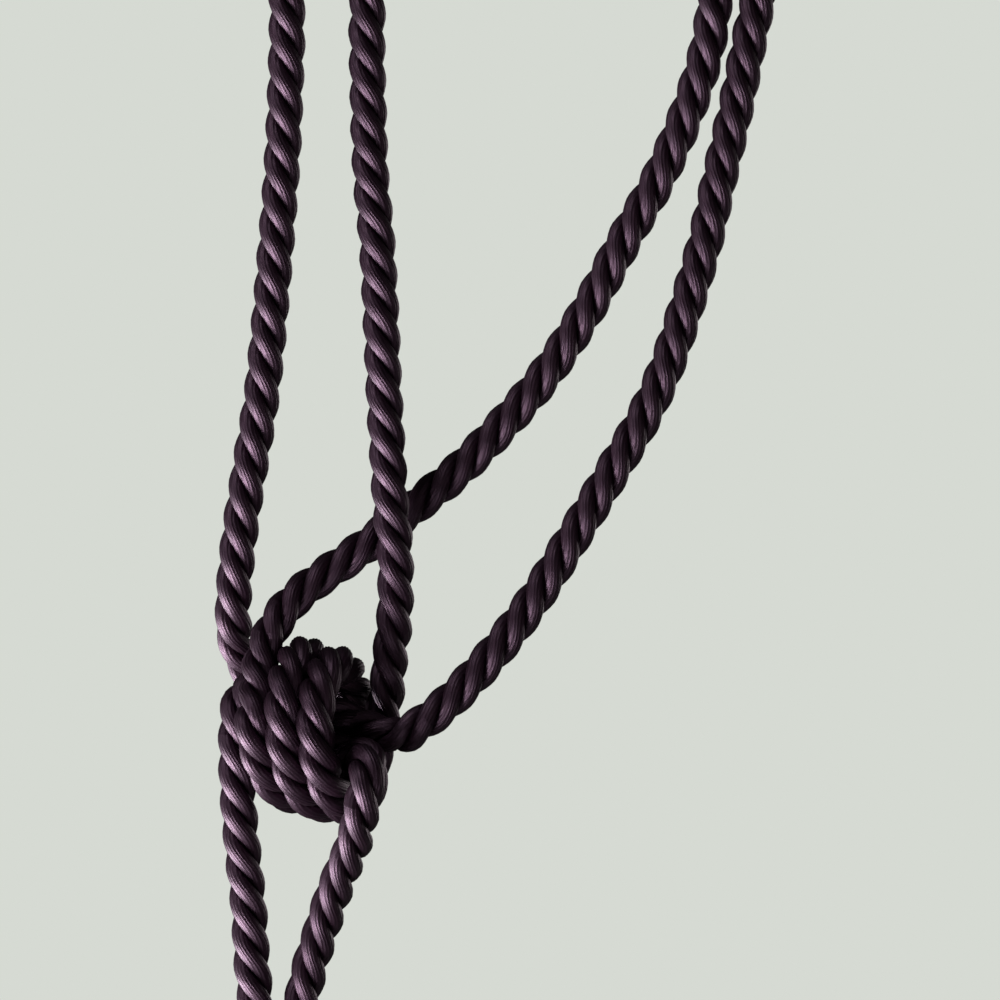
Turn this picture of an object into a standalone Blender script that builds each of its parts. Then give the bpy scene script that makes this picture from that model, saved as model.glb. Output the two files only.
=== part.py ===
"""Tasselled cord tieback for a curtain.

One length of three-ply twisted cord makes the whole tieback: it is wound into a ball knot, with two
long hook loops above the knot and two strands below it that carry a tassel. Lengths are in
millimetres. Routes are measured from the middle of the knot: +X right, +Y away from the room,
+Z up. The finished part is shifted so that its origin is the hook's seat in the left loop.
"""
import math
import random

import bmesh
import bpy
from mathutils import Vector

MM = 0.001

# Cord: three plies in a left-handed (S) lay
CORD_DIAMETER = 9.0
CORD_RADIUS = CORD_DIAMETER / 2
PLIES = 3
LAY_LENGTH = 23.5
RINGS_PER_LAY = 8
SHOULDER_ANGLE = math.radians(22)
GROOVE_RADIUS = 3.4
SEAT_GAP = 0.3
WIDEN_PER_SQUEEZE = 0.2
SAMPLES_PER_SPAN = 12
SHARP_FROM_ANGLE = math.radians(50)

# Knot: turns of cord side by side, each square to an axis whose right end comes forward
KNOT_YAW = math.radians(23)
KNOT_ROLL = math.radians(2)
KNOT_MIDDLE = Vector((2.6, 0.0, 0.9))
TURN_STEP = Vector((7.5, -3.1, -1.9))
MIDDLE_TURN = 1.0
KNOT_RADIUS = 17.0
RADIUS_LOSS_PER_TURN2 = 0.5
FIRST_TURN = 0.0
LAST_TURN = 2.36
POINTS_PER_TURN = 14
# The way from the right loop's end, down over the knot's top left, to the first turn's front
KNOT_ENTRY = [(-9.3, -2.3, 20.0), (-10.3, -4.8, 14.4), (-10.7, -8.4, 8.6)]
# The last turn's end sinks in behind the lower right strand
TUCK_FROM_TURN = 2.12
TUCK_PER_TURN2 = 60.0
TURN_SQUEEZE = 0.20

# Core: the two strands that run through the turns and swap places on the way, further apart where
# they enter on the left
CORE_FIRST_TURN = 0.25
CORE_LAST_TURN = 2.4
CORE_OFFSET = 4.7
CORE_SPREAD = 1.5
CORE_SQUEEZE = 0.10
CORE_START_ANGLE = math.radians(100)
CORE_END_ANGLE = math.radians(45)
CORE_POINTS = 6

# Hook's seat in the left loop, from the middle of the knot
HOOK_SEAT = Vector((5.9, 0.0, 221.0))

# Right loop: up from the knot's right end, round the eye, back to the knot's top left
RIGHT_LOOP = [
    (22.9, -6.2, -0.5), (28.3, -8.7, 2.3), (36.5, -9.0, 9.1), (47.3, -8.6, 21.1),
    (56.9, -8.0, 34.3), (66.2, -7.2, 49.4), (74.4, -6.4, 63.1), (81.6, -5.6, 75.6),
    (87.0, -4.8, 87.5), (91.9, -4.0, 102.2), (96.5, -3.0, 118.1), (100.3, -2.0, 134.9),
    (103.9, -1.2, 150.2), (107.5, -0.5, 168.0), (111.2, 0.0, 184.0), (114.7, 0.0, 192.6),
    (119.5, 0.0, 199.4), (124.8, 0.0, 204.6), (129.1, 0.0, 213.2), (128.6, 0.0, 222.7),
    (123.4, 0.0, 230.8), (114.9, 0.0, 235.1), (105.3, 0.0, 234.6), (97.3, 0.0, 229.4),
    (92.9, 0.0, 220.9), (93.4, 0.0, 211.3), (96.6, 0.0, 201.5), (98.8, 0.1, 193.0),
    (99.4, 0.3, 184.0), (97.6, 0.8, 167.0), (92.9, 1.6, 150.7), (85.7, 2.6, 133.7),
    (77.3, 3.6, 118.6), (68.9, 4.6, 102.7), (59.0, 5.6, 87.1), (48.2, 6.4, 74.2),
    (37.7, 6.9, 63.4), (28.1, 7.0, 55.4), (16.6, 6.6, 46.1), (8.4, 5.6, 40.2),
    (1.6, 3.8, 35.4), (-3.4, 1.8, 30.8), (-7.0, -0.2, 25.6),
]

# Left loop: up from the back of the last turn, round the eye, down to the knot's left end
LEFT_LOOP = [
    (17.5, 5.1, -3.6), (18.7, 6.6, 1.6), (19.6, 6.4, 7.2), (20.4, 5.2, 12.6),
    (20.9, 3.6, 18.6), (21.9, 1.0, 26.0),
    (22.3, -1.0, 35.5), (22.1, -2.8, 45.1), (21.2, -3.4, 53.5), (20.3, -3.3, 67.9),
    (19.4, -3.0, 84.7), (18.7, -2.6, 101.5), (17.7, -2.0, 119.0), (16.3, -1.4, 134.0),
    (15.6, -0.8, 154.3), (15.4, -0.3, 171.0), (16.1, 0.0, 182.0), (18.6, 0.0, 190.2),
    (21.9, 0.0, 197.8), (24.4, 0.0, 207.0), (21.9, 0.0, 216.2), (15.2, 0.0, 223.0),
    (5.9, 0.0, 225.5), (-3.4, 0.0, 223.0), (-10.1, 0.0, 216.2), (-12.6, 0.0, 207.0),
    (-10.1, 0.0, 197.8), (-6.9, 0.0, 190.2), (-4.5, 0.0, 182.0), (-3.8, 0.0, 171.0),
    (-4.3, 0.2, 151.9), (-5.2, 0.4, 133.9), (-7.0, 0.7, 111.1), (-8.5, 1.0, 94.3),
    (-10.1, 1.4, 79.9), (-12.5, 1.8, 65.5), (-14.8, 2.2, 51.1), (-16.3, 2.6, 38.5),
    (-16.9, 4.8, 28.5), (-16.4, 8.0, 22.2), (-14.4, 11.2, 16.6), (-11.2, 12.8, 10.8),
    (-7.6, 11.6, 4.0), (-4.6, 8.0, -1.0),
]

# Lower strands, between the knot and the tassel's head
LOWER_LEFT = [
    (-10.8, 0.0, -78.0), (-10.8, 0.0, -73.0), (-11.2, 0.0, -66.0), (-12.3, 0.0, -54.0),
    (-13.0, 0.0, -42.0), (-14.3, -0.2, -29.5), (-15.2, -0.8, -20.0), (-15.7, -1.2, -12.0),
    (-15.9, -1.0, -5.0), (-15.9, -0.6, 0.2), (-15.7, 0.3, 5.0), (-14.8, 1.6, 8.4),
    (-12.5, 3.1, 10.7), (-8.8, 3.3, 10.9),
]
LOWER_RIGHT = [
    (15.2, -13.0, -5.2), (15.8, -18.2, -6.9), (15.6, -21.6, -11.4), (14.4, -20.8, -18.0),
    (12.8, -16.6, -25.0), (10.0, -11.6, -31.8), (7.2, -7.4, -39.0), (4.4, -3.8, -47.6),
    (1.6, -1.4, -56.5), (-0.4, -0.3, -65.5), (-1.2, 0.0, -73.0), (-1.2, 0.0, -78.0),
]

# Tassel: a domed head with a drawn-in neck, and a skirt of strands
HEAD_CENTRE = Vector((-6.0, 0.0, 0.0))
HEAD_TOP = -78.3
HEAD_PROFILE = [
    # radius, depth below the head's top
    (10.4, 0.0), (12.6, 2.0), (14.0, 6.0), (14.2, 10.5), (13.0, 15.0), (10.6, 18.6),
    (9.4, 20.6), (10.2, 22.6), (11.6, 25.4), (12.4, 28.4),
]
HEAD_SIDES = 24
SKIRT_ROWS = 4
SKIRT_ROWS_DEPTH = 0.8
SKIRT_LENGTH = 82.0
SKIRT_UNEVEN = 2.5
SKIRT_FLARE = 1.42
SKIRT_JOINTS = 3
STRAND_ROOT_INSET = 0.16
STRAND_SEED = 7

CORD_COLOUR = (0.035, 0.010, 0.026, 1.0)


def clear_scene():
    for item in list(bpy.data.objects):
        bpy.data.objects.remove(item)


def material(name, colour, roughness):
    made = bpy.data.materials.new(name)
    made.use_nodes = True
    shader = made.node_tree.nodes["Principled BSDF"]
    shader.inputs["Base Color"].default_value = colour
    shader.inputs["Roughness"].default_value = roughness
    shader.inputs["Metallic"].default_value = 0.0
    return made


def add_object(name, mesh_builder, finish):
    """Turn a bmesh, built round the knot in millimetres, into an object round the hook's seat."""
    bmesh.ops.translate(mesh_builder, verts=mesh_builder.verts, vec=-HOOK_SEAT)
    bmesh.ops.scale(mesh_builder, verts=mesh_builder.verts, vec=(MM, MM, MM))
    bmesh.ops.recalc_face_normals(mesh_builder, faces=mesh_builder.faces)
    mesh = bpy.data.meshes.new(name)
    mesh_builder.to_mesh(mesh)
    mesh_builder.free()
    mesh.shade_smooth()
    mesh.set_sharp_from_angle(angle=SHARP_FROM_ANGLE)
    mesh.materials.append(finish)
    item = bpy.data.objects.new(name, mesh)
    bpy.context.scene.collection.objects.link(item)
    return item


def knot_axes():
    """The knot's axis, and the directions from it to its front and to its underside."""
    along = Vector((
        math.cos(KNOT_YAW) * math.cos(KNOT_ROLL),
        -math.sin(KNOT_YAW) * math.cos(KNOT_ROLL),
        math.sin(KNOT_ROLL),
    ))
    viewer = Vector((0, -1, 0))
    front = (viewer - viewer.dot(along) * along).normalized()
    return along, front, along.cross(front)


ALONG, FRONT, UNDER = knot_axes()


def turn_centre(turn):
    return KNOT_MIDDLE + (turn - MIDDLE_TURN) * TURN_STEP


def around_knot(turn, radius, angle):
    return turn_centre(turn) + radius * (math.cos(angle) * FRONT + math.sin(angle) * UNDER)


def knot_route():
    """The winding turns, each point with the squeeze that presses a turn flat on its neighbours."""
    count = round((LAST_TURN - FIRST_TURN) * POINTS_PER_TURN)
    route = [(Vector(point), TURN_SQUEEZE * ALONG) for point in KNOT_ENTRY]
    for index in range(count + 1):
        turn = FIRST_TURN + (LAST_TURN - FIRST_TURN) * index / count
        radius = KNOT_RADIUS - RADIUS_LOSS_PER_TURN2 * (turn - MIDDLE_TURN) ** 2
        radius -= TUCK_PER_TURN2 * max(0.0, turn - TUCK_FROM_TURN) ** 2
        point = around_knot(turn, radius, math.tau * turn)
        route.append((point, TURN_SQUEEZE * ALONG))
    return route


def core_route(half_turn):
    """One of the two strands inside the turns, from the knot's left end to its right end."""
    route = []
    for index in range(CORE_POINTS):
        share = index / (CORE_POINTS - 1)
        turn = CORE_FIRST_TURN + (CORE_LAST_TURN - CORE_FIRST_TURN) * share
        angle = CORE_START_ANGLE + (CORE_END_ANGLE - CORE_START_ANGLE) * share + half_turn
        point = around_knot(turn, CORE_OFFSET + CORE_SPREAD * (1 - share) ** 2, angle)
        outward = (point - turn_centre(turn)).normalized()
        route.append((point, CORE_SQUEEZE * outward))
    return route


def plain_route(points):
    return [(Vector(point), Vector()) for point in points]


def cord_stretches():
    """The cord from the tassel, through loops and knot, back to the tassel, in named stretches."""
    return [
        ("lower_left", plain_route(LOWER_LEFT)),
        ("core_back", core_route(math.pi)),
        ("right_loop", plain_route(RIGHT_LOOP)),
        ("knot", knot_route()),
        ("left_loop", plain_route(LEFT_LOOP)),
        ("core_front", core_route(0.0)),
        ("lower_right", plain_route(LOWER_RIGHT)),
    ]


def curve_point(before, start, end, after, share):
    """A point between start and end on the smooth curve through all four (Catmull-Rom)."""
    square, cube = share * share, share ** 3
    return 0.5 * (
        2 * start + (end - before) * share
        + (2 * before - 5 * start + 4 * end - after) * square
        + (3 * start - before - 3 * end + after) * cube
    )


def sample_cord(stretches):
    """Close samples of the whole cord: place, squeeze and length so far, and where stretches meet."""
    nodes = [node for _, route in stretches for node in route]
    samples = []
    node_length = []
    length = 0.0
    for index in range(len(nodes) - 1):
        four = [nodes[min(max(index + step, 0), len(nodes) - 1)] for step in (-1, 0, 1, 2)]
        node_length.append(length)
        for sub in range(SAMPLES_PER_SPAN):
            share = sub / SAMPLES_PER_SPAN
            place = curve_point(*(node[0] for node in four), share)
            squeeze = curve_point(*(node[1] for node in four), share)
            if samples:
                length += (place - samples[-1][0]).length
            if sub == 0:
                node_length[-1] = length
            samples.append((place, squeeze, length))
    length += (nodes[-1][0] - samples[-1][0]).length
    samples.append((nodes[-1][0], nodes[-1][1], length))
    node_length.append(length)

    bounds = []
    first = 0
    for name, route in stretches:
        last = first + len(route) - 1
        start = node_length[0] if first == 0 else (node_length[first - 1] + node_length[first]) / 2
        end = length if last == len(nodes) - 1 else (node_length[last] + node_length[last + 1]) / 2
        bounds.append((name, start, end))
        first = last + 1
    return samples, bounds


def add_frames(samples):
    """Give each sample its direction and a side direction that never twists about the cord."""
    framed = []
    side = None
    for index, (place, squeeze, length) in enumerate(samples):
        ahead = samples[min(index + 1, len(samples) - 1)][0]
        behind = samples[max(index - 1, 0)][0]
        forward = (ahead - behind).normalized()
        if side is None:
            side = forward.orthogonal().normalized()
        side = (side - side.dot(forward) * forward).normalized()
        framed.append((place, squeeze, length, forward, side))
    return framed


def frame_at(framed, length, first):
    """The cord's frame at a length along it, searched for from sample number first."""
    index = first
    while index < len(framed) - 2 and framed[index + 1][2] < length:
        index += 1
    low, high = framed[index], framed[index + 1]
    share = (length - low[2]) / max(high[2] - low[2], 1e-9)
    place, squeeze = (low[k].lerp(high[k], share) for k in (0, 1))
    forward = low[3].lerp(high[3], share).normalized()
    side = low[4].lerp(high[4], share)
    side = (side - side.dot(forward) * forward).normalized()
    return index, place, squeeze, forward, side


def section_points():
    """The three-lobed cross-section, as angle and radius: a groove and two shoulders a ply."""
    outline = []
    for ply in range(PLIES):
        crown = math.tau * ply / PLIES
        outline.append((crown - math.pi / PLIES, GROOVE_RADIUS))
        outline.append((crown - SHOULDER_ANGLE, CORD_RADIUS))
        outline.append((crown + SHOULDER_ANGLE, CORD_RADIUS))
    return outline


def squeezed(offset, squeeze, forward):
    """Press a section point flat along the squeeze's direction, and let it widen across it."""
    press = squeeze - squeeze.dot(forward) * forward
    amount = press.length
    if amount < 1e-6:
        return offset
    press /= amount
    across = forward.cross(press)
    offset = offset - amount * offset.dot(press) * press
    return offset + WIDEN_PER_SQUEEZE * amount * offset.dot(across) * across


def cord_piece(name, framed, start, end, finish):
    """A stretch of twisted cord with flat ends, half a seat gap short of where it meets the next."""
    start += SEAT_GAP / 2
    end -= SEAT_GAP / 2
    steps = max(2, round((end - start) / (LAY_LENGTH / RINGS_PER_LAY)))
    outline = section_points()
    builder = bmesh.new()
    rings = []
    sample = 0
    for step in range(steps + 1):
        length = start + (end - start) * step / steps
        sample, place, squeeze, forward, side = frame_at(framed, length, sample)
        other = forward.cross(side)
        lay = -math.tau * length / LAY_LENGTH
        ring = []
        for angle, radius in outline:
            offset = radius * (math.cos(angle + lay) * side + math.sin(angle + lay) * other)
            ring.append(builder.verts.new(place + squeezed(offset, squeeze, forward)))
        rings.append(ring)
    count = len(outline)
    for low, high in zip(rings, rings[1:]):
        for index in range(count):
            following = (index + 1) % count
            builder.faces.new((low[index], low[following], high[following]))
            builder.faces.new((low[index], high[following], high[index]))
    builder.faces.new(rings[0][::-1])
    builder.faces.new(rings[-1])
    return add_object(name, builder, finish)


def head_ring(builder, radius, height):
    ring = []
    for side in range(HEAD_SIDES):
        angle = math.tau * side / HEAD_SIDES
        out = Vector((radius * math.cos(angle), radius * math.sin(angle), height))
        ring.append(builder.verts.new(HEAD_CENTRE + out))
    return ring


def tassel_head(builder):
    """The closed head, and the faces of its underside that the skirt's strands grow from."""
    rings = [head_ring(builder, radius, HEAD_TOP - depth) for radius, depth in HEAD_PROFILE]
    rim_radius, rim_depth = HEAD_PROFILE[-1]
    for row in range(1, SKIRT_ROWS + 1):
        radius = rim_radius * (1 - SKIRT_ROWS_DEPTH * row / SKIRT_ROWS)
        rings.append(head_ring(builder, radius, HEAD_TOP - rim_depth))
    roots = []
    for number, (outer, inner) in enumerate(zip(rings, rings[1:])):
        for index in range(HEAD_SIDES):
            following = (index + 1) % HEAD_SIDES
            corners = (outer[index], outer[following], inner[following], inner[index])
            face = builder.faces.new(corners)
            if number >= len(HEAD_PROFILE) - 1:
                roots.append(face)
    builder.faces.new(rings[0][::-1])
    builder.faces.new(rings[-1])
    return roots


def grow_strand(builder, root, length):
    """Pull one strand down out of its root face, spreading outwards as it falls."""
    middle = root.calc_center_median()
    out = Vector((middle.x - HEAD_CENTRE.x, middle.y - HEAD_CENTRE.y, 0))
    bmesh.ops.inset_individual(builder, faces=[root], thickness=STRAND_ROOT_INSET, depth=0.0)
    corners = [vert.co - middle for vert in root.verts]
    tip = root
    for joint in range(1, SKIRT_JOINTS + 1):
        share = joint / SKIRT_JOINTS
        spread = (SKIRT_FLARE - 1) * math.sin(share * math.pi / 2)
        tip = bmesh.ops.extrude_discrete_faces(builder, faces=[tip])["faces"][0]
        centre = middle + spread * out - Vector((0, 0, length * share))
        for vert, corner in zip(tip.verts, corners):
            vert.co = centre + corner


def tassel(finish):
    """Head and skirt as one solid."""
    random.seed(STRAND_SEED)
    builder = bmesh.new()
    for root in tassel_head(builder):
        length = SKIRT_LENGTH + random.uniform(-SKIRT_UNEVEN, SKIRT_UNEVEN)
        grow_strand(builder, root, length)
    return add_object("tassel", builder, finish)


def build():
    clear_scene()
    cord_finish = material("twisted_cord", CORD_COLOUR, 0.45)
    tassel_finish = material("tassel_yarn", CORD_COLOUR, 0.5)
    samples, bounds = sample_cord(cord_stretches())
    framed = add_frames(samples)
    for name, start, end in bounds:
        cord_piece(name, framed, start, end, cord_finish)
    tassel(tassel_finish)


build()
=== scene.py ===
"""Looks of a tasselled curtain tieback: satin three-ply cord, wound ball knot, yarn tassel."""
import math
import random

import bpy
import numpy as np
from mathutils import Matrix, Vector


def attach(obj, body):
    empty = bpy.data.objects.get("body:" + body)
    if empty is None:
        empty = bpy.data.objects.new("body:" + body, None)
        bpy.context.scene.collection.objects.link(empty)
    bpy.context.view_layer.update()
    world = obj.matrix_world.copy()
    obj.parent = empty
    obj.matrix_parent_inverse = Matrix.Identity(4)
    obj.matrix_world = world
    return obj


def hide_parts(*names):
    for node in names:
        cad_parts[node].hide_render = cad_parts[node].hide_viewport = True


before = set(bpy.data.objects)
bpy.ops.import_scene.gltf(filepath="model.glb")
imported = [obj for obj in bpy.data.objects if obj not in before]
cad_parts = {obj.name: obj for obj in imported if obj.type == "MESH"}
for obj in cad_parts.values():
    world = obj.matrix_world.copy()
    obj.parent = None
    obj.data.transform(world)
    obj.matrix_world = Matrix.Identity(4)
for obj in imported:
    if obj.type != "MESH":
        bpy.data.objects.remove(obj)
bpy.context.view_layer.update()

# Lengths are in millimetres, apart from those of the camera's view and the studio, in metres
MM = 0.001

# Cord: three plies in a left-handed (S) lay, each a bundle of yarns that run side by side
PLIES = 3
LAY_LENGTH = 23.5
PLY_CENTRE_RADIUS = 2.47
PLY_HALF_DEPTH = 2.03
PLY_HALF_WIDTH = 2.6
# Exponent of a ply's outline: 2 is an ellipse, and less draws its sides in
PLY_ROUNDNESS = 1.75
YARNS_PER_PLY = 16
POINTS_PER_YARN = 4
YARN_RELIEF = 0.13
YARN_UNEVEN = 0.4
# Mean height of a yarn's rounded outline, taken off so that the ply keeps its size
YARN_OUTLINE_MEAN = 0.6
RING_STEP = 1.35
FEWEST_RINGS = 4
WIDEN_PER_SQUEEZE = 0.2
NO_PRESS = 1e-9
SAMPLES_PER_SPAN = 12
CORD_SEED = 3
# Both ends run on this far into the tassel's head
END_TUCK = 2.5
# The knot's strands swell by this factor until they touch, and ease into it over this length
KNOT_FULLNESS = 1.11
FULLNESS_EASE = 10.0

# Knot: turns of cord side by side, each square to an axis whose right end comes forward
KNOT_YAW = math.radians(23)
KNOT_ROLL = math.radians(2)
KNOT_MIDDLE = Vector((2.6, 0.0, 0.9))
TURN_STEP = Vector((7.5, -3.1, -1.9))
MIDDLE_TURN = 1.0
KNOT_RADIUS = 17.0
RADIUS_LOSS_PER_TURN2 = 0.5
FIRST_TURN = 0.0
LAST_TURN = 2.36
POINTS_PER_TURN = 14
# The way from the right loop's end, down over the knot's top left, to the first turn's front
KNOT_ENTRY = [(-9.3, -2.3, 20.0), (-10.3, -4.8, 14.4), (-10.7, -8.4, 8.6)]
# The last turn's end sinks in behind the lower right strand
TUCK_FROM_TURN = 2.12
TUCK_PER_TURN2 = 60.0
TURN_SQUEEZE = 0.08

# Core: the two strands that run through the turns and swap places on the way, further apart where
# they enter on the left
CORE_FIRST_TURN = 0.25
CORE_LAST_TURN = 2.4
CORE_OFFSET = 4.7
CORE_SPREAD = 1.5
CORE_SQUEEZE = 0.10
CORE_START_ANGLE = math.radians(100)
CORE_END_ANGLE = math.radians(45)
CORE_POINTS = 6

# Hook's seat in the left loop, from the middle of the knot: the part's origin
HOOK_SEAT = Vector((5.9, 0.0, 221.0))

# Routes in millimetres from the middle of the knot, with the same points as the solids'
RIGHT_LOOP = [
    (22.9, -6.2, -0.5), (28.3, -8.7, 2.3), (36.5, -9.0, 9.1), (47.3, -8.6, 21.1),
    (56.9, -8.0, 34.3), (66.2, -7.2, 49.4), (74.4, -6.4, 63.1), (81.6, -5.6, 75.6),
    (87.0, -4.8, 87.5), (91.9, -4.0, 102.2), (96.5, -3.0, 118.1), (100.3, -2.0, 134.9),
    (103.9, -1.2, 150.2), (107.5, -0.5, 168.0), (111.2, 0.0, 184.0), (114.7, 0.0, 192.6),
    (119.5, 0.0, 199.4), (124.8, 0.0, 204.6), (129.1, 0.0, 213.2), (128.6, 0.0, 222.7),
    (123.4, 0.0, 230.8), (114.9, 0.0, 235.1), (105.3, 0.0, 234.6), (97.3, 0.0, 229.4),
    (92.9, 0.0, 220.9), (93.4, 0.0, 211.3), (96.6, 0.0, 201.5), (98.8, 0.1, 193.0),
    (99.4, 0.3, 184.0), (97.6, 0.8, 167.0), (92.9, 1.6, 150.7), (85.7, 2.6, 133.7),
    (77.3, 3.6, 118.6), (68.9, 4.6, 102.7), (59.0, 5.6, 87.1), (48.2, 6.4, 74.2),
    (37.7, 6.9, 63.4), (28.1, 7.0, 55.4), (16.6, 6.6, 46.1), (8.4, 5.6, 40.2),
    (1.6, 3.8, 35.4), (-3.4, 1.8, 30.8), (-7.0, -0.2, 25.6),
]
LEFT_LOOP = [
    (17.5, 5.1, -3.6), (18.7, 6.6, 1.6), (19.6, 6.4, 7.2), (20.4, 5.2, 12.6),
    (20.9, 3.6, 18.6), (21.9, 1.0, 26.0),
    (22.3, -1.0, 35.5), (22.1, -2.8, 45.1), (21.2, -3.4, 53.5), (20.3, -3.3, 67.9),
    (19.4, -3.0, 84.7), (18.7, -2.6, 101.5), (17.7, -2.0, 119.0), (16.3, -1.4, 134.0),
    (15.6, -0.8, 154.3), (15.4, -0.3, 171.0), (16.1, 0.0, 182.0), (18.6, 0.0, 190.2),
    (21.9, 0.0, 197.8), (24.4, 0.0, 207.0), (21.9, 0.0, 216.2), (15.2, 0.0, 223.0),
    (5.9, 0.0, 225.5), (-3.4, 0.0, 223.0), (-10.1, 0.0, 216.2), (-12.6, 0.0, 207.0),
    (-10.1, 0.0, 197.8), (-6.9, 0.0, 190.2), (-4.5, 0.0, 182.0), (-3.8, 0.0, 171.0),
    (-4.3, 0.2, 151.9), (-5.2, 0.4, 133.9), (-7.0, 0.7, 111.1), (-8.5, 1.0, 94.3),
    (-10.1, 1.4, 79.9), (-12.5, 1.8, 65.5), (-14.8, 2.2, 51.1), (-16.3, 2.6, 38.5),
    (-16.9, 4.8, 28.5), (-16.4, 8.0, 22.2), (-14.4, 11.2, 16.6), (-11.2, 12.8, 10.8),
    (-7.6, 11.6, 4.0), (-4.6, 8.0, -1.0),
]
LOWER_LEFT = [
    (-10.8, 0.0, -78.0), (-10.8, 0.0, -73.0), (-11.2, 0.0, -66.0), (-12.3, 0.0, -54.0),
    (-13.0, 0.0, -42.0), (-14.3, -0.2, -29.5), (-15.2, -0.8, -20.0), (-15.7, -1.2, -12.0),
    (-15.9, -1.0, -5.0), (-15.9, -0.6, 0.2), (-15.7, 0.3, 5.0), (-14.8, 1.6, 8.4),
    (-12.5, 3.1, 10.7), (-8.8, 3.3, 10.9),
]
LOWER_RIGHT = [
    (15.2, -13.0, -5.2), (15.8, -18.2, -6.9), (15.6, -21.6, -11.4), (14.4, -20.8, -18.0),
    (12.8, -16.6, -25.0), (10.0, -11.6, -31.8), (7.2, -7.4, -39.0), (4.4, -3.8, -47.6),
    (1.6, -1.4, -56.5), (-0.4, -0.3, -65.5), (-1.2, 0.0, -73.0), (-1.2, 0.0, -78.0),
]

# Lengths of each stretch that the knot holds bent, cut off into pieces of their own.
# Lengths of each stretch that the knot holds bent, so that they aren't free cord
KNOT_HOLDS = {
    # stretch: at its start, at its end
    "lower_left": (0.0, 20.0),
    "right_loop": (14.0, 8.0),
    "left_loop": (18.0, 26.0),
    "lower_right": (20.0, 0.0),
}

# Tassel: a domed head with a drawn-in neck, covered and bound with yarn, and a skirt of yarn
HEAD_CENTRE = Vector((-6.0, 0.0, 0.0))
HEAD_TOP = -78.3
HEAD_PROFILE = [
    # radius, depth below the head's top
    (4.0, 2.6), (7.6, 0.3), (10.4, 0.2), (12.6, 2.0), (14.0, 6.0), (14.2, 10.5), (13.0, 15.0),
    (10.6, 18.6), (9.4, 20.6), (10.2, 22.6), (11.6, 25.4), (12.4, 28.4),
]
# Which of the profile's points are the shoulder and the neck
SHOULDER_POINT = 6
NECK_POINT = 8
NECK_DEPTH = HEAD_PROFILE[NECK_POINT][1]
YARN_SIDES = 8
TASSEL_SEED = 11

COVER_YARNS = 58
COVER_YARN_DEPTH = 0.8
COVER_DEPTH_UNEVEN = 0.15
COVER_SPACING_UNEVEN = 0.12
COVER_OVERLAP = 1.06
COVER_RINGS = 30

BINDING_TURNS = 5
BINDING_PITCH = 1.15
BINDING_PLIES = 2
BINDING_PLY_RADIUS = 0.42
BINDING_PLY_OVERLAP = 1.15
BINDING_TWIST = 3.4
BINDING_STANDOFF = 0.4
BINDING_RINGS_PER_TURN = 72

SKIRT_STRANDS = 300
SKIRT_LENGTH = 82.0
SKIRT_UNEVEN = 2.2
SKIRT_FLARE = 1.42
SKIRT_STRAND_RADIUS = 0.95
SKIRT_STRAND_UNEVEN = (0.85, 1.1)
# Power of the skirt's growing radius by which each strand thickens towards its cut end
SKIRT_STRAND_GROWTH = 0.7
# How far a strand sways in and out, how far sideways in radians, and how many times
SKIRT_WAVE = 0.6
SKIRT_SWING = 0.05
SKIRT_SWAYS = (1.0, 2.2)
SKIRT_RINGS = 26

MOULD_INSET = 1.4
MOULD_SEGMENTS = 32
MOULD_RINGS = 14
MOULD_OUTLINE_STEPS = 200
# Metres within which two of the mould's vertices are level
SAME_HEIGHT = 1e-5

# Edges between faces steeper than this stay sharp
SHARP_FROM = math.radians(70)

# Rayon, near black in its dye, so that most of what shows is its satin highlight
RAYON_DARK = "#060105"
RAYON_LIGHT = "#1a0914"
RAYON_ROUGHNESS = (0.51, 0.40)
RAYON_SPECULAR = 0.9
RAYON_HIGHLIGHT = (1.0, 0.62, 0.88, 1.0)
# Filaments across a yarn
CORD_FILAMENTS = 8.0
TASSEL_FILAMENTS = 5.0
FILAMENT_LENGTH = 12.0
FILAMENT_RELIEF = 0.12
# A yarn's own shade, against the streaks', and the range of both that goes from dark to light
YARN_SHADE_WEIGHT = 0.45
SHADE_RANGE = (0.35, 1.0)

# Limewood under the yarn, with its growth rings 1.6 mm apart
WOOD_DARK = "#120a0e"
WOOD_LIGHT = "#1e1216"
WOOD_RING_SCALE = 200.0
WOOD_ROUGHNESS = 0.6

# Camera: level, square to the photographed front
VIEW_CENTRE = Vector((0.0414, 0.0, -0.1651))
VIEW_WIDTH = 0.240
CAMERA_DISTANCE = 1.60
# In millimetres, as the lens is
SENSOR_WIDTH = 36.0

# Studio: a wide low strip at the left lays a bright band along each ply, and the rest stay weak
DAYLIGHT = (0.97, 0.97, 1.0)
WARM_LIGHT = (1.0, 0.95, 0.90)
PALE_WARM_LIGHT = (1.0, 0.97, 0.95)
LIGHTS = [
    # name, direction from the middle of the view, distance, width, height, power, tint
    ("window", (-0.87, -0.07, -0.49), 1.1, 1.5, 0.22, 35.0, DAYLIGHT),
    ("front", (-0.20, -0.80, -0.56), 1.1, 1.0, 0.25, 1.8, DAYLIGHT),
    ("high", (-0.52, -0.40, 0.75), 1.1, 0.35, 0.35, 2.4, DAYLIGHT),
    ("room", (0.66, -0.75, 0.10), 1.3, 0.5, 0.5, 0.4, WARM_LIGHT),
    ("behind", (0.70, 0.71, 0.00), 1.3, 1.0, 0.5, 2.6, PALE_WARM_LIGHT),
]
BACKGROUND = "#d6dad3"
BACKGROUND_SEEN = 1.0
BACKGROUND_CAST = 0.03
FLOOR_HEIGHT = -2.3
FLOOR_SIZE = 24.0
FLOOR_ROUGHNESS = 0.9


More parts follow.
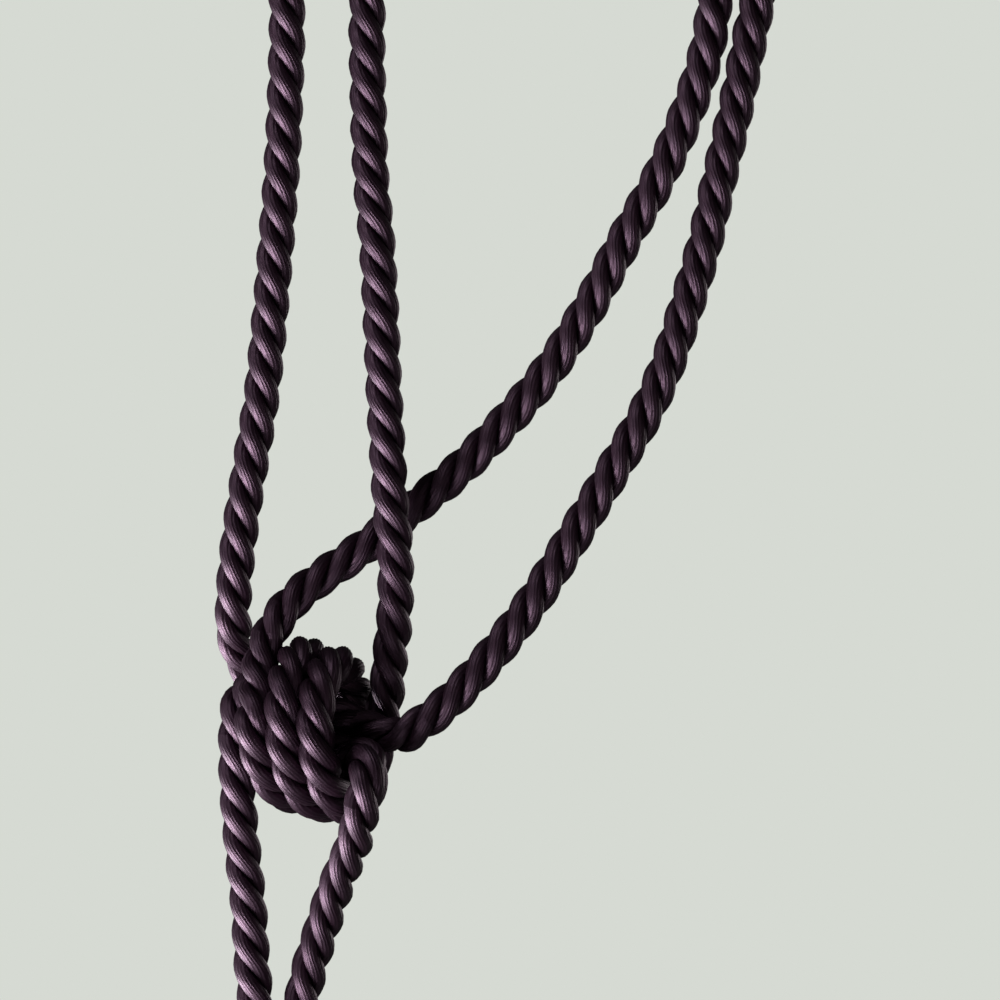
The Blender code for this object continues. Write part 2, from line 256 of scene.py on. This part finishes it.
def make_camera():
    """A camera that frames VIEW_WIDTH at the object's own distance."""
    data = bpy.data.cameras.new("camera")
    data.sensor_width = SENSOR_WIDTH
    data.lens = SENSOR_WIDTH * CAMERA_DISTANCE / VIEW_WIDTH
    camera = bpy.data.objects.new("camera", data)
    camera.location = VIEW_CENTRE + Vector((0, -CAMERA_DISTANCE, 0))
    camera.rotation_euler = (math.radians(90), 0, 0)
    bpy.context.scene.collection.objects.link(camera)
    bpy.context.scene.camera = camera


# ---------------------------------------------------------------- cord routes

def knot_axes():
    """The knot's axis, and the directions from it to its front and to its underside."""
    along = Vector((
        math.cos(KNOT_YAW) * math.cos(KNOT_ROLL),
        -math.sin(KNOT_YAW) * math.cos(KNOT_ROLL),
        math.sin(KNOT_ROLL),
    ))
    viewer = Vector((0, -1, 0))
    front = (viewer - viewer.dot(along) * along).normalized()
    return along, front, along.cross(front)


ALONG, FRONT, UNDER = knot_axes()


def turn_centre(turn):
    """The middle of the knot's turns at this count of turns."""
    return KNOT_MIDDLE + (turn - MIDDLE_TURN) * TURN_STEP


def around_knot(turn, radius, angle):
    """A point at a radius and angle about the knot's axis, at this count of turns."""
    return turn_centre(turn) + radius * (math.cos(angle) * FRONT + math.sin(angle) * UNDER)


def knot_route():
    """The winding turns, each point with the squeeze that presses a turn flat on its neighbours."""
    count = round((LAST_TURN - FIRST_TURN) * POINTS_PER_TURN)
    route = [(Vector(point), TURN_SQUEEZE * ALONG) for point in KNOT_ENTRY]
    for index in range(count + 1):
        turn = FIRST_TURN + (LAST_TURN - FIRST_TURN) * index / count
        radius = KNOT_RADIUS - RADIUS_LOSS_PER_TURN2 * (turn - MIDDLE_TURN) ** 2
        radius -= TUCK_PER_TURN2 * max(0.0, turn - TUCK_FROM_TURN) ** 2
        point = around_knot(turn, radius, math.tau * turn)
        route.append((point, TURN_SQUEEZE * ALONG))
    return route


def core_route(half_turn):
    """One of the two strands inside the turns, from the knot's left end to its right end."""
    route = []
    for index in range(CORE_POINTS):
        share = index / (CORE_POINTS - 1)
        turn = CORE_FIRST_TURN + (CORE_LAST_TURN - CORE_FIRST_TURN) * share
        angle = CORE_START_ANGLE + (CORE_END_ANGLE - CORE_START_ANGLE) * share + half_turn
        point = around_knot(turn, CORE_OFFSET + CORE_SPREAD * (1 - share) ** 2, angle)
        outward = (point - turn_centre(turn)).normalized()
        route.append((point, CORE_SQUEEZE * outward))
    return route


def plain_route(points):
    """A route through the points with no squeeze."""
    return [(Vector(point), Vector()) for point in points]


def cord_stretches():
    """The one cord from tassel to tassel, in the stretches that the solids are cut into."""
    return [
        ("lower_left", plain_route(LOWER_LEFT)),
        ("core_back", core_route(math.pi)),
        ("right_loop", plain_route(RIGHT_LOOP)),
        ("knot", knot_route()),
        ("left_loop", plain_route(LEFT_LOOP)),
        ("core_front", core_route(0.0)),
        ("lower_right", plain_route(LOWER_RIGHT)),
    ]


def curve_point(before, start, end, after, share):
    """A point between start and end on the smooth curve through all four (Catmull-Rom)."""
    square, cube = share * share, share ** 3
    return 0.5 * (
        2 * start + (end - before) * share
        + (2 * before - 5 * start + 4 * end - after) * square
        + (3 * start - before - 3 * end + after) * cube
    )


def sample_cord(stretches):
    """Close samples of the whole cord, and the lengths at which each stretch starts and ends."""
    nodes = [node for _, route in stretches for node in route]
    places, squeezes, at_node = [], [], []
    for index in range(len(nodes) - 1):
        four = [nodes[min(max(index + step, 0), len(nodes) - 1)] for step in (-1, 0, 1, 2)]
        at_node.append(len(places))
        for sub in range(SAMPLES_PER_SPAN):
            share = sub / SAMPLES_PER_SPAN
            places.append(curve_point(*(node[0] for node in four), share))
            squeezes.append(curve_point(*(node[1] for node in four), share))
    at_node.append(len(places))
    places.append(nodes[-1][0])
    squeezes.append(nodes[-1][1])
    places, squeezes = np.array(places), np.array(squeezes)
    lengths = np.concatenate([[0.0], np.cumsum(np.linalg.norm(np.diff(places, axis=0), axis=1))])
    node_length = lengths[at_node]

    bounds = {}
    first = 0
    for name, route in stretches:
        last = first + len(route) - 1
        start = 0.0 if first == 0 else (node_length[first - 1] + node_length[first]) / 2
        if last == len(nodes) - 1:
            end = lengths[-1]
        else:
            end = (node_length[last] + node_length[last + 1]) / 2
        bounds[name] = (start, end)
        first = last + 1
    return places, squeezes, lengths, bounds


def untwisted_sides(forwards):
    """For each sample of a route, a side direction that never twists about the cord."""
    side = Vector(forwards[0]).orthogonal().normalized()
    sides = []
    for forward in forwards:
        forward = Vector(forward)
        side = (side - side.dot(forward) * forward).normalized()
        sides.append(side.copy())
    return np.array(sides)


def unit(vectors):
    """The vectors at length one."""
    return vectors / np.linalg.norm(vectors, axis=-1, keepdims=True)


class Cord:
    """The sampled cord, read at any length along it."""

    def __init__(self, places, squeezes, lengths):
        start = places[0] - END_TUCK * unit(places[1] - places[0])
        end = places[-1] + END_TUCK * unit(places[-1] - places[-2])
        places = np.vstack([start, places, end])
        squeezes = np.vstack([squeezes[:1], squeezes, squeezes[-1:]])
        lengths = np.concatenate([[-END_TUCK], lengths, [lengths[-1] + END_TUCK]])
        ahead = np.vstack([places[1:], places[-1:]])
        behind = np.vstack([places[:1], places[:-1]])
        self.lengths = lengths
        self.places = places
        self.squeezes = squeezes
        self.forwards = unit(ahead - behind)
        self.sides = untwisted_sides(self.forwards)

    def read(self, at):
        """Place, squeeze, forward, side and third direction at each of the lengths."""
        def along(values):
            return np.stack([np.interp(at, self.lengths, values[:, k]) for k in range(3)], axis=1)

        forward = unit(along(self.forwards))
        side = along(self.sides)
        side = unit(side - np.sum(side * forward, axis=1, keepdims=True) * forward)
        return along(self.places), along(self.squeezes), forward, side, np.cross(forward, side)


# ---------------------------------------------------------------- cord meshes

def squeezed(offset, squeeze, forward):
    """Press section points flat along the squeeze's direction, and let them widen across it."""
    press = squeeze - np.sum(squeeze * forward, axis=1, keepdims=True) * forward
    amount = np.linalg.norm(press, axis=1, keepdims=True)
    press = press / np.maximum(amount, NO_PRESS)
    across = np.cross(forward, press)
    amount, press, across = (v[:, None, :] for v in (amount, press, across))
    inward = np.sum(offset * press, axis=2, keepdims=True)
    offset = offset - amount * inward * press
    outward = np.sum(offset * across, axis=2, keepdims=True)
    return offset + WIDEN_PER_SQUEEZE * amount * outward * across


def tube_faces(rings, around, first):
    """Quads of a tube of rings, and its two end caps, for vertices numbered ring by ring."""
    ring = np.arange(rings - 1)[:, None] * around
    point = np.arange(around)[None, :]
    following = (point + 1) % around
    quads = np.stack([ring + point, ring + following, ring + around + following,
                      ring + around + point], axis=-1).reshape(-1, 4) + first
    low_cap = (np.arange(around)[::-1] + first).tolist()
    high_cap = (np.arange(around) + first + (rings - 1) * around).tolist()
    return quads.tolist(), [low_cap, high_cap]


def tubes_object(name, tubes):
    """One mesh of closed tubes, each given as its points ring by ring, yarns round and mm along."""
    points, quads, caps, uv = [], [], [], []
    first = 0
    for rings, yarns, along in tubes:
        count, around = rings.shape[:2]
        sides, ends = tube_faces(count, around, first)
        quads += sides
        caps += ends
        first += count * around
        points.append(rings.reshape(-1, 3))
        shape = (count - 1, around)
        low_u, high_u = (np.broadcast_to(u[None, :], shape) for u in (yarns[:-1], yarns[1:]))
        low_v, high_v = (np.broadcast_to(v[:, None], shape) for v in (along[:-1], along[1:]))
        uv.append(np.stack([low_u, low_v, high_u, low_v, high_u, high_v, low_u, high_v], axis=-1))
    uv = [corner.reshape(-1, 2) for corner in uv]
    uv.append(np.zeros((sum(len(cap) for cap in caps), 2)))
    mesh = bpy.data.meshes.new(name)
    placed = (np.vstack(points) - np.array(HOOK_SEAT)) * MM
    mesh.from_pydata(placed.tolist(), [], quads + caps)
    mesh.shade_smooth()
    mesh.set_sharp_from_angle(angle=SHARP_FROM)
    # Flat caps keep their normals out of the sides' shading, where two stretches meet
    for cap in mesh.polygons[len(quads):]:
        cap.use_smooth = False
    layer = mesh.uv_layers.new(name="yarn")
    layer.data.foreach_set("uv", np.vstack(uv).astype(np.float32).ravel())
    made = bpy.data.objects.new(name, mesh)
    bpy.context.scene.collection.objects.link(made)
    return made


def yarn_relief(ply):
    """How far each point round a ply stands out: rounded yarns, some a little prouder."""
    chooser = random.Random(CORD_SEED + ply)
    heights = [chooser.uniform(1 - YARN_UNEVEN, 1 + YARN_UNEVEN) for _ in range(YARNS_PER_PLY)]
    outline = np.sin(math.pi * np.arange(POINTS_PER_YARN) / POINTS_PER_YARN) - YARN_OUTLINE_MEAN
    return YARN_RELIEF * np.outer(heights, outline).ravel()


def fullness(at, pressed):
    """How much the cord swells at each length: the turns of the knot fill out until they touch."""
    swell = np.zeros_like(at)
    for start, end in pressed:
        inside = np.clip(np.minimum(at - start, end - at) / FULLNESS_EASE, 0, 1)
        swell = np.maximum(swell, inside * inside * (3 - 2 * inside))
    return 1 + (KNOT_FULLNESS - 1) * swell


def cord_piece(name, cord, start, end, pressed):
    """A stretch of cord: three plies, each a tube whose yarns run side by side along it."""
    rings = max(FEWEST_RINGS, math.ceil((end - start) / RING_STEP) + 1)
    at = np.linspace(start, end, rings)
    place, squeeze, forward, side, other = cord.read(at)
    swell = fullness(at, pressed)[:, None, None]
    around = YARNS_PER_PLY * POINTS_PER_YARN
    angle = math.tau * np.arange(around) / around
    tubes = []
    for ply in range(PLIES):
        crown = math.tau * ply / PLIES - math.tau * at / LAY_LENGTH
        turned = angle[None, :] - crown[:, None]
        deep = np.abs(np.cos(turned) / PLY_HALF_DEPTH) ** PLY_ROUNDNESS
        wide = np.abs(np.sin(turned) / PLY_HALF_WIDTH) ** PLY_ROUNDNESS
        radius = (deep + wide) ** (-1 / PLY_ROUNDNESS)
        radius = radius + yarn_relief(ply)[None, :]
        x = PLY_CENTRE_RADIUS * np.cos(crown)[:, None] + radius * np.cos(angle)[None, :]
        y = PLY_CENTRE_RADIUS * np.sin(crown)[:, None] + radius * np.sin(angle)[None, :]
        offset = x[:, :, None] * side[:, None, :] + y[:, :, None] * other[:, None, :]
        points = place[:, None, :] + swell * squeezed(offset, squeeze, forward)
        yarns = ply * YARNS_PER_PLY + np.arange(around + 1) / POINTS_PER_YARN
        tubes.append((points, yarns, at))
    return tubes_object(name, tubes), place


# ---------------------------------------------------------------- tassel

def yarn_tube(centres, outward, half_width, half_depth, number):
    """A yarn as a tube along its centres, flat side towards outward, numbered for its shade."""
    steps = np.diff(centres, axis=0)
    forward = unit(np.vstack([steps[:1], steps[:-1] + steps[1:], steps[-1:]]))
    across = unit(np.cross(outward, forward))
    outward = np.cross(forward, across)
    angle = math.tau * np.arange(YARN_SIDES) / YARN_SIDES
    wide = (half_width[:, None] * np.cos(angle))[:, :, None] * across[:, None, :]
    deep = (half_depth[:, None] * np.sin(angle))[:, :, None] * outward[:, None, :]
    yarns = number + np.arange(YARN_SIDES + 1) / YARN_SIDES
    along = np.concatenate([[0.0], np.cumsum(np.linalg.norm(steps, axis=1))])
    return centres[:, None, :] + wide + deep, yarns, along


def head_curve(count):
    """Radius and height at places along the head's smooth outline, from its top to its neck."""
    nodes = [Vector((radius, HEAD_TOP - depth)) for radius, depth in HEAD_PROFILE]
    curve = []
    for at in np.linspace(0, NECK_POINT, count):
        low = min(int(at), len(nodes) - 2)
        four = [nodes[min(max(low + step, 0), len(nodes) - 1)] for step in (-1, 0, 1, 2)]
        curve.append(curve_point(*four, at - low))
    return np.array(curve)


def skirt_radius(depth):
    """The skirt's outer radius at each depth below the head's top."""
    radii, depths = zip(*HEAD_PROFILE[NECK_POINT:])
    fall = np.clip((depth - depths[-1]) / SKIRT_LENGTH, 0, 1)
    return np.interp(depth, depths, radii) * (1 + (SKIRT_FLARE - 1) * np.sin(fall * math.pi / 2))


def around_head(radius, height, angle):
    """Points at a radius, height and angle from the head's upright middle line."""
    across = np.stack([radius * np.cos(angle), radius * np.sin(angle), height + 0 * angle], axis=-1)
    return np.array(HEAD_CENTRE) + across


def head_cover():
    """Yarns laid side by side from the head's top over its shoulder and in to its neck."""
    chooser = random.Random(TASSEL_SEED)
    curve = head_curve(COVER_RINGS)
    steps = np.gradient(curve, axis=0)
    normal = unit(np.stack([-steps[:, 1], steps[:, 0]], axis=1))
    tubes = []
    for yarn in range(COVER_YARNS):
        shift = chooser.uniform(-COVER_SPACING_UNEVEN, COVER_SPACING_UNEVEN)
        angle = math.tau * (yarn + shift) / COVER_YARNS
        depth = COVER_YARN_DEPTH * chooser.uniform(1 - COVER_DEPTH_UNEVEN, 1 + COVER_DEPTH_UNEVEN)
        middle = curve - depth * normal
        centres = around_head(middle[:, 0], middle[:, 1], np.full(len(curve), angle))
        outward = np.stack([normal[:, 0] * math.cos(angle), normal[:, 0] * math.sin(angle),
                            normal[:, 1]], axis=1)
        half_width = COVER_OVERLAP * math.pi * middle[:, 0] / COVER_YARNS
        tubes.append(yarn_tube(centres, outward, half_width, np.full(len(curve), depth), yarn))
    return tubes_object("head_cover_yarns", tubes)


def neck_binding():
    """Two-ply thread wound round the neck over the ends of the cover and the top of the skirt."""
    count = BINDING_TURNS * BINDING_RINGS_PER_TURN
    turn = np.linspace(-0.5, 0.5, count) * BINDING_TURNS
    depth = NECK_DEPTH + turn * BINDING_PITCH
    radii, depths = zip(*HEAD_PROFILE[SHOULDER_POINT:])
    radius = np.interp(depth, depths, radii) + BINDING_STANDOFF
    angle = math.tau * turn
    centres = around_head(radius, HEAD_TOP - depth, angle)
    outward = np.stack([np.cos(angle), np.sin(angle), 0 * angle], axis=1)
    up = np.array([0.0, 0.0, 1.0])
    length = np.concatenate([[0.0], np.cumsum(np.linalg.norm(np.diff(centres, axis=0), axis=1))])
    tubes = []
    for ply in range(BINDING_PLIES):
        lay = math.tau * length / BINDING_TWIST + math.tau * ply / BINDING_PLIES
        ply_out = np.cos(lay)[:, None] * outward + np.sin(lay)[:, None] * up
        ply_centres = centres + BINDING_PLY_RADIUS * ply_out
        half = np.full(count, BINDING_PLY_RADIUS * BINDING_PLY_OVERLAP)
        tubes.append(yarn_tube(ply_centres, ply_out, half, half, ply))
    return tubes_object("neck_binding_thread", tubes)


def skirt():
    """Strands of yarn hung close together from the neck, a little wavy, cut nearly level."""
    chooser = random.Random(TASSEL_SEED + 1)
    golden = math.pi * (3 - math.sqrt(5))
    tubes = []
    for strand in range(SKIRT_STRANDS):
        share = math.sqrt((strand + 0.5) / SKIRT_STRANDS)
        end = HEAD_PROFILE[-1][1] + SKIRT_LENGTH + chooser.uniform(-SKIRT_UNEVEN, SKIRT_UNEVEN)
        depth = np.linspace(NECK_DEPTH, end, SKIRT_RINGS)
        outer = skirt_radius(depth)
        growth = (outer / outer[-1]) ** SKIRT_STRAND_GROWTH
        thick = SKIRT_STRAND_RADIUS * chooser.uniform(*SKIRT_STRAND_UNEVEN) * growth
        fall = (depth - NECK_DEPTH) / (end - NECK_DEPTH)
        sway = chooser.uniform(0, math.tau) + chooser.uniform(*SKIRT_SWAYS) * math.tau * fall
        swing = SKIRT_SWING * chooser.uniform(-1, 1)
        radius = share * (outer - thick - SKIRT_WAVE * fall) + SKIRT_WAVE * fall * np.sin(sway)
        angle = golden * strand + swing * fall * np.cos(sway)
        centres = around_head(radius, HEAD_TOP - depth, angle)
        outward = np.stack([np.cos(angle), np.sin(angle), 0 * angle], axis=1)
        tubes.append(yarn_tube(centres, outward, thick, thick, strand))
    return tubes_object("skirt_strands", tubes)


def head_mould():
    """The turned wooden mould just inside the cover: a ball, drawn in to the neck."""
    bpy.ops.object.select_all(action="DESELECT")
    middle = (HEAD_CENTRE - HOOK_SEAT + Vector((0, 0, HEAD_TOP - NECK_DEPTH / 2))) * MM
    bpy.ops.mesh.primitive_uv_sphere_add(
        segments=MOULD_SEGMENTS, ring_count=MOULD_RINGS,
        radius=NECK_DEPTH / 2 * MM, location=middle)
    mould = bpy.context.object
    mould.name = "head_mould"
    bpy.ops.object.transform_apply(location=True, rotation=True, scale=True)
    curve = head_curve(MOULD_OUTLINE_STEPS)
    heights = sorted({round(vert.co.z, 6) for vert in mould.data.vertices})
    for height in heights[1:-1]:
        bpy.ops.object.mode_set(mode="EDIT")
        bpy.ops.mesh.select_all(action="DESELECT")
        bpy.ops.object.mode_set(mode="OBJECT")
        ring = [vert for vert in mould.data.vertices if abs(vert.co.z - height) < SAME_HEIGHT]
        for vert in ring:
            vert.select = True
        now = max((vert.co.xy - middle.xy).length for vert in ring)
        level = height / MM + HOOK_SEAT.z
        outline = min(curve, key=lambda point: abs(point[1] - level))[0]
        scale = (outline - MOULD_INSET) * MM / now
        bpy.ops.object.mode_set(mode="EDIT")
        bpy.ops.transform.resize(
            value=(scale, scale, 1), center_override=(middle.x, middle.y, height))
        bpy.ops.object.mode_set(mode="OBJECT")
    bpy.ops.object.shade_smooth()
    return mould


# ---------------------------------------------------------------- materials

def colour(code):
    """A linear colour from an sRGB hex code."""
    channels = [int(code[k:k + 2], 16) / 255 for k in (1, 3, 5)]
    return [c / 12.92 if c <= 0.04045 else ((c + 0.055) / 1.055) ** 2.4 for c in channels] + [1.0]


def add_node(tree, kind, settings=None, inputs=None):
    """A node with its settings, and its inputs set to a value or linked from a socket."""
    node = tree.nodes.new(kind)
    for key, value in (settings or {}).items():
        setattr(node, key, value)
    for key, value in (inputs or {}).items():
        if isinstance(value, bpy.types.NodeSocket):
            tree.links.new(value, node.inputs[key])
        else:
            node.inputs[key].default_value = value
    return node


def new_material(name):
    """A material, its node tree and its shader."""
    made = bpy.data.materials.new(name)
    made.use_nodes = True
    return made, made.node_tree, made.node_tree.nodes["Principled BSDF"]


def satin_rayon(name, filaments):
    """Twisted rayon yarn: near-black plum dye under a satin highlight that streaks along each yarn.

    The UV map counts yarns across and millimetres along, so a streak keeps to its own yarn."""
    made, tree, shader = new_material(name)
    place = add_node(tree, "ShaderNodeUVMap", {"uv_map": "yarn"}).outputs["UV"]
    split = add_node(tree, "ShaderNodeSeparateXYZ", inputs={"Vector": place})
    yarn = add_node(tree, "ShaderNodeMath", {"operation": "FLOOR"}, {0: split.outputs["X"]})
    shade = add_node(tree, "ShaderNodeTexWhiteNoise", {"noise_dimensions": "1D"}, {
        "W": yarn.outputs[0]})
    # Filaments: a few to a yarn, coarser than real ones so that they show, each seen for some 12 mm
    stretched = add_node(tree, "ShaderNodeMapping", inputs={
        "Vector": place, "Scale": (filaments, 1 / FILAMENT_LENGTH, 1.0)})
    streak = add_node(tree, "ShaderNodeTexNoise", inputs={
        "Vector": stretched.outputs["Vector"], "Scale": 1.0, "Detail": 3.0, "Roughness": 0.6})
    blend = add_node(tree, "ShaderNodeMath", {"operation": "MULTIPLY_ADD"}, {
        0: shade.outputs["Value"], 1: YARN_SHADE_WEIGHT, 2: streak.outputs["Fac"]})
    ramp = add_node(tree, "ShaderNodeMapRange", inputs={
        "Value": blend.outputs[0], "From Min": SHADE_RANGE[0], "From Max": SHADE_RANGE[1]})
    mix = add_node(tree, "ShaderNodeMix", {"data_type": "RGBA"}, {
        0: ramp.outputs["Result"], 6: colour(RAYON_DARK), 7: colour(RAYON_LIGHT)})
    tree.links.new(mix.outputs[2], shader.inputs["Base Color"])
    rough = add_node(tree, "ShaderNodeMapRange", inputs={
        "Value": streak.outputs["Fac"], "To Min": RAYON_ROUGHNESS[0], "To Max": RAYON_ROUGHNESS[1]})
    tree.links.new(rough.outputs["Result"], shader.inputs["Roughness"])
    bump = add_node(tree, "ShaderNodeBump", inputs={
        "Strength": 0.6, "Distance": FILAMENT_RELIEF * MM, "Height": streak.outputs["Fac"]})
    tree.links.new(bump.outputs["Normal"], shader.inputs["Normal"])
    shader.inputs["Specular IOR Level"].default_value = RAYON_SPECULAR
    shader.inputs["Specular Tint"].default_value = RAYON_HIGHLIGHT
    return made


def turned_wood(name):
    """Turned limewood, stained dark like the yarn over it, so no pale line shows between yarns."""
    made, tree, shader = new_material(name)
    place = add_node(tree, "ShaderNodeTexCoord").outputs["Object"]
    # Growth rings, seen as a fine grain
    grain = add_node(tree, "ShaderNodeTexWave", {"wave_type": "RINGS", "rings_direction": "Z"}, {
        "Vector": place, "Scale": WOOD_RING_SCALE, "Distortion": 2.0})
    mix = add_node(tree, "ShaderNodeMix", {"data_type": "RGBA"}, {
        0: grain.outputs["Fac"], 6: colour(WOOD_DARK), 7: colour(WOOD_LIGHT)})
    tree.links.new(mix.outputs[2], shader.inputs["Base Color"])
    shader.inputs["Roughness"].default_value = WOOD_ROUGHNESS
    return made


# ---------------------------------------------------------------- studio

def add_light(name, toward, distance, width, height, power, tint):
    """A soft light at a distance in a direction from the middle of the view, facing it."""
    data = bpy.data.lights.new(name, "AREA")
    data.shape = "RECTANGLE"
    data.size = width
    data.size_y = height
    data.energy = power
    data.color = tint
    light = bpy.data.objects.new(name, data)
    direction = Vector(toward).normalized()
    light.location = VIEW_CENTRE + direction * distance
    light.rotation_euler = direction.to_track_quat("Z", "Y").to_euler()
    bpy.context.scene.collection.objects.link(light)


def pale_floor():
    """A plain pale floor, well below the hanging object."""
    bpy.ops.object.select_all(action="DESELECT")
    bpy.ops.mesh.primitive_plane_add(size=FLOOR_SIZE, location=(0, 0, FLOOR_HEIGHT))
    floor = bpy.context.object
    floor.name = "floor"
    made, tree, shader = new_material("pale_floor_paint")
    shader.inputs["Base Color"].default_value = colour(BACKGROUND)
    shader.inputs["Roughness"].default_value = FLOOR_ROUGHNESS
    path = add_node(tree, "ShaderNodeLightPath")
    shader.inputs["Emission Color"].default_value = colour(BACKGROUND)
    tree.links.new(path.outputs["Is Camera Ray"], shader.inputs["Emission Strength"])
    floor.data.materials.append(made)


def make_studio():
    """The lights, and a pale surround that the camera sees brighter than it lights the object."""
    for light in LIGHTS:
        add_light(*light)
    world = bpy.data.worlds.new("studio")
    world.use_nodes = True
    bpy.context.scene.world = world
    tree = world.node_tree
    tree.nodes.clear()
    path = add_node(tree, "ShaderNodeLightPath")
    seen, cast = (
        add_node(tree, "ShaderNodeBackground", inputs={
            "Color": colour(BACKGROUND), "Strength": strength})
        for strength in (BACKGROUND_SEEN, BACKGROUND_CAST)
    )
    pick = add_node(tree, "ShaderNodeMixShader", inputs={
        0: path.outputs["Is Camera Ray"], 1: cast.outputs[0], 2: seen.outputs[0]})
    add_node(tree, "ShaderNodeOutputWorld", inputs={"Surface": pick.outputs[0]})
    bpy.context.scene.view_settings.view_transform = "Standard"
    pale_floor()


def dress(piece, nodes, finish):
    """Give a piece its finish, and put it in the place of the nodes that it stands for."""
    piece.data.materials.append(finish)
    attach(piece, "root")
    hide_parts(*nodes)


def free_cord(path):
    """A free stretch of the cord, which goes into the object at both of its ends: its path is moved
    into metres from the hook's seat, and nothing more is done with it.
    """
    path = (path - np.array(HOOK_SEAT)) * MM


def make_cord(finish):
    """Every stretch of the cord in its own piece; of the four that hang outside the knot, the
    lengths that the knot holds bent are pieces of their own.
    """
    places, squeezes, lengths, bounds = sample_cord(cord_stretches())
    cord = Cord(places, squeezes, lengths)
    pressed = [bounds[name] for name in ("core_back", "knot", "core_front")]
    for name, (start, end) in bounds.items():
        if name == "lower_left":
            start -= END_TUCK
        if name == "lower_right":
            end += END_TUCK
        held_start, held_end = KNOT_HOLDS.get(name, (0.0, 0.0))
        held_parts = {"_entry": (start, start + held_start), "_exit": (end - held_end, end)}
        for label, (first, last) in held_parts.items():
            if last > first:
                bend, _ = cord_piece(name + label, cord, first, last, pressed)
                dress(bend, [name], finish)
        start += held_start
        end -= held_end
        piece, path = cord_piece(name + "_cord", cord, start, end, pressed)
        dress(piece, [name], finish)
        if name in KNOT_HOLDS:
            free_cord(path)


def make_tassel(finish):
    """The head's cover and mould, the binding at its neck, and the skirt."""
    for piece in (head_cover(), neck_binding(), skirt()):
        dress(piece, ["tassel"], finish)
    dress(head_mould(), ["tassel"], turned_wood("stained_limewood"))


make_camera()
make_cord(satin_rayon("satin_rayon_cord", CORD_FILAMENTS))
make_tassel(satin_rayon("satin_rayon_yarn", TASSEL_FILAMENTS))
make_studio()
